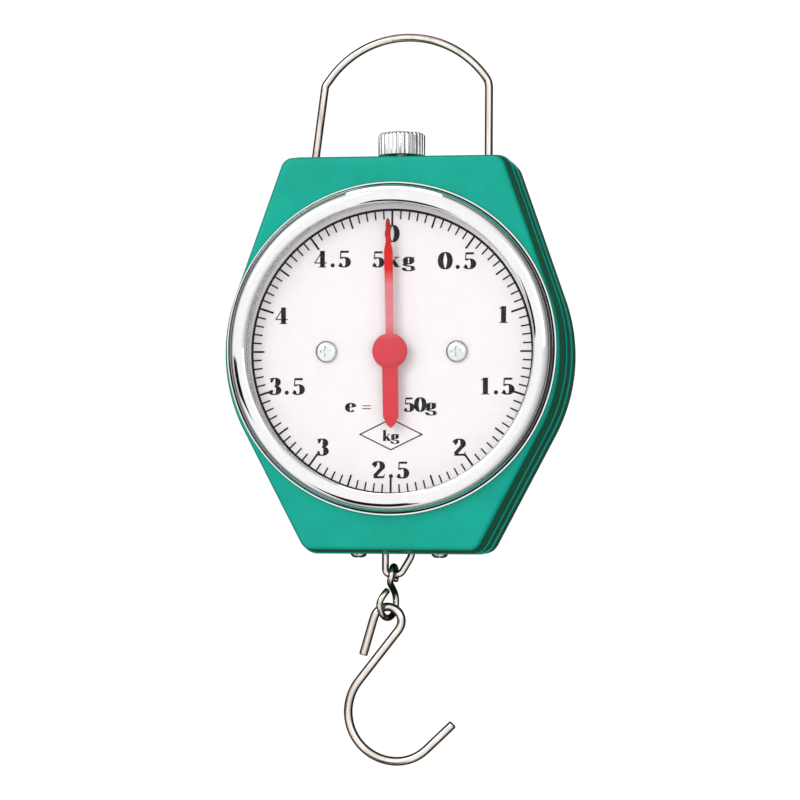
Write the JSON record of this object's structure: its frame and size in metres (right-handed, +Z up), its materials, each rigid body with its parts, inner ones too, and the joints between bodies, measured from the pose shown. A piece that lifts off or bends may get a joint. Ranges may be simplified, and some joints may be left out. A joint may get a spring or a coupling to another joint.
{
  "type": "hanging spring scale",
  "caption": "Hanging dial scale: a moulded housing on a wire bail, with a red pointer, a zeroing knob and an S-hook for the load.",
  "frame": {"origin": "inner top of the wire bail, where the scale hangs", "axes": "+X to the right of the dial, +Y from the dial towards the back, +Z up"},
  "size_m": [0.1058, 0.041, 0.2269],
  "materials": {
    "bail": "nickel plated wire",
    "bezel_ring": "bright chrome plate",
    "bottom_screw_left": "zinc plated",
    "bottom_screw_right": "zinc plated",
    "dial_lens": "clear",
    "dial_plate": "printed, satin",
    "dial_screw_left": "zinc plated",
    "dial_screw_right": "zinc plated",
    "dial_spacer_left": "machined",
    "dial_spacer_right": "machined",
    "draw_bar": "zinc plated",
    "drive_pinion": "machined",
    "drive_rack": "machined",
    "frame_pillar_bottom_left": "zinc plated",
    "frame_pillar_bottom_right": "zinc plated",
    "frame_pillar_top_left": "zinc plated",
    "frame_pillar_top_right": "zinc plated",
    "front_bridge": "plain steel",
    "front_bush": "machined",
    "front_cover": "satin moulded plastic",
    "lens_spacer_ring": "matt",
    "load_loop": "nickel plated wire",
    "main_frame": "plain steel",
    "pointer": "satin paint",
    "pointer_arbor": "zinc plated",
    "rack_guide": "natural",
    "rack_rivet_lower": "machined",
    "rack_rivet_upper": "machined",
    "rear_bush": "machined",
    "rear_cover": "satin moulded plastic",
    "rear_screw_bottom_left": "zinc plated",
    "rear_screw_bottom_right": "zinc plated",
    "rear_screw_top_left": "zinc plated",
    "rear_screw_top_right": "zinc plated",
    "s_hook": "nickel plated wire",
    "spindle_clip": "oiled spring steel",
    "spring_carrier": "zinc plated",
    "spring_left": "oiled spring steel",
    "spring_right": "oiled spring steel",
    "swivel_link": "nickel plated wire",
    "zero_knob": "bright chrome plate",
    "zero_spindle": "zinc plated"
  },
  "bodies": {
    "bail": {"bail": "bail"},
    "housing": {"front_cover": "front_cover", "rear_cover": "rear_cover", "bezel_ring": "bezel_ring", "dial_lens": "dial_lens", "lens_spacer_ring": "lens_spacer_ring", "dial_plate": "dial_plate", "dial_screw_left": "dial_screw_left", "dial_screw_right": "dial_screw_right", "dial_spacer_left": "dial_spacer_left", "dial_spacer_right": "dial_spacer_right", "front_bridge": "front_bridge", "frame_pillar_top_left": "frame_pillar_top_left", "frame_pillar_top_right": "frame_pillar_top_right", "frame_pillar_bottom_left": "frame_pillar_bottom_left", "frame_pillar_bottom_right": "frame_pillar_bottom_right", "main_frame": "main_frame", "front_bush": "front_bush", "rear_bush": "rear_bush", "rack_guide": "rack_guide", "bottom_screw_left": "bottom_screw_left", "bottom_screw_right": "bottom_screw_right", "rear_screw_top_left": "rear_screw_top_left", "rear_screw_top_right": "rear_screw_top_right", "rear_screw_bottom_left": "rear_screw_bottom_left", "rear_screw_bottom_right": "rear_screw_bottom_right", "spring_left": "spring_left", "spring_right": "spring_right"},
    "zero_adjuster": {"zero_knob": "zero_knob", "zero_spindle": "zero_spindle", "spindle_clip": "spindle_clip"},
    "spring_carrier": {"spring_carrier": "spring_carrier"},
    "pointer": {"pointer": "pointer", "pointer_arbor": "pointer_arbor", "drive_pinion": "drive_pinion"},
    "load": {"draw_bar": "draw_bar", "drive_rack": "drive_rack", "rack_rivet_lower": "rack_rivet_lower", "rack_rivet_upper": "rack_rivet_upper", "load_loop": "load_loop"},
    "link": {"swivel_link": "swivel_link"},
    "hook": {"s_hook": "s_hook"}
  },
  "joints": [
    {"name": "bail_swing", "type": "hinge", "parent": "bail", "child": "housing", "pos_m": [0, 0, -0.0465], "axis": [1, 0, 0], "range_deg": [-10, 10]},
    {"name": "knob_turn", "type": "hinge", "parent": "housing", "child": "zero_adjuster", "pos_m": [0, 0, -0.0325], "axis": [0, 0, 1], "range_deg": [-721, 721]},
    {"name": "carrier_slide", "type": "slide", "parent": "housing", "child": "spring_carrier", "axis": [0, 0, 1], "range_m": [-0.0014, 0.0014], "deforming": ["spring_left", "spring_right"]},
    {"name": "load_slide", "type": "slide", "parent": "housing", "child": "load", "axis": [0, 0, -1], "range_m": [0, 0.0251], "stiffness_N_per_m": 1950, "springref_m": -0.0003, "deforming": ["spring_left", "spring_right"]},
    {"name": "pointer_turn", "type": "hinge", "parent": "housing", "child": "pointer", "pos_m": [0, -0.016, -0.0975], "axis": [0, 1, 0], "range_deg": [0, 360]},
    {"name": "link_swing", "type": "hinge", "parent": "load", "child": "link", "pos_m": [-0.00165, 0, -0.1654], "axis": [1, 0, 0], "range_deg": [-25, 25]},
    {"name": "hook_swing", "type": "hinge", "parent": "link", "child": "hook", "pos_m": [-0.0035, 0, -0.179], "axis": [0.4695, 0.8829, 0], "range_deg": [-20, 20]}
  ],
  "couplings": [
    {"joint": "knob_turn", "follows": "carrier_slide", "rad_per_m": 8976},
    {"joint": "pointer_turn", "follows": "load_slide", "rad_per_m": 250}
  ]
}
